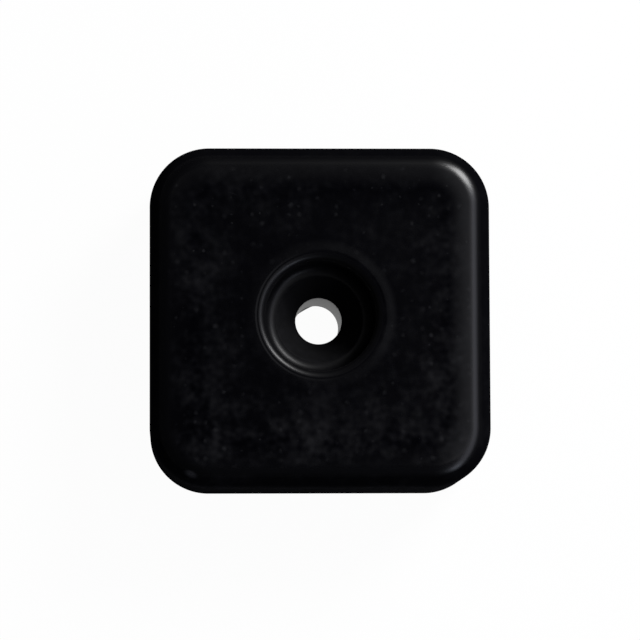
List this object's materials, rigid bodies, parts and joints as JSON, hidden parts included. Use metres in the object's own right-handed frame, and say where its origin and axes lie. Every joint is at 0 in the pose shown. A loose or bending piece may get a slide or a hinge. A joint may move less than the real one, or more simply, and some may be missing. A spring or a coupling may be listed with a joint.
{
  "type": "rubber foot",
  "caption": "Square moulded rubber foot with rounded corners and a round edge, screwed on through a countersunk hole at the bottom of a round recess in its floor side.",
  "frame": {"origin": "centre of the flat mounting face, on the axis of the screw hole", "axes": "+Z out of the floor side, along the screw hole; +X and +Y square to the straight walls"},
  "size_m": [0.04, 0.04, 0.018],
  "materials": {
    "rubber": "black moulded rubber with a dull bloom"
  },
  "bodies": {
    "root": {"rubber_foot": "rubber"}
  },
  "joints": []
}
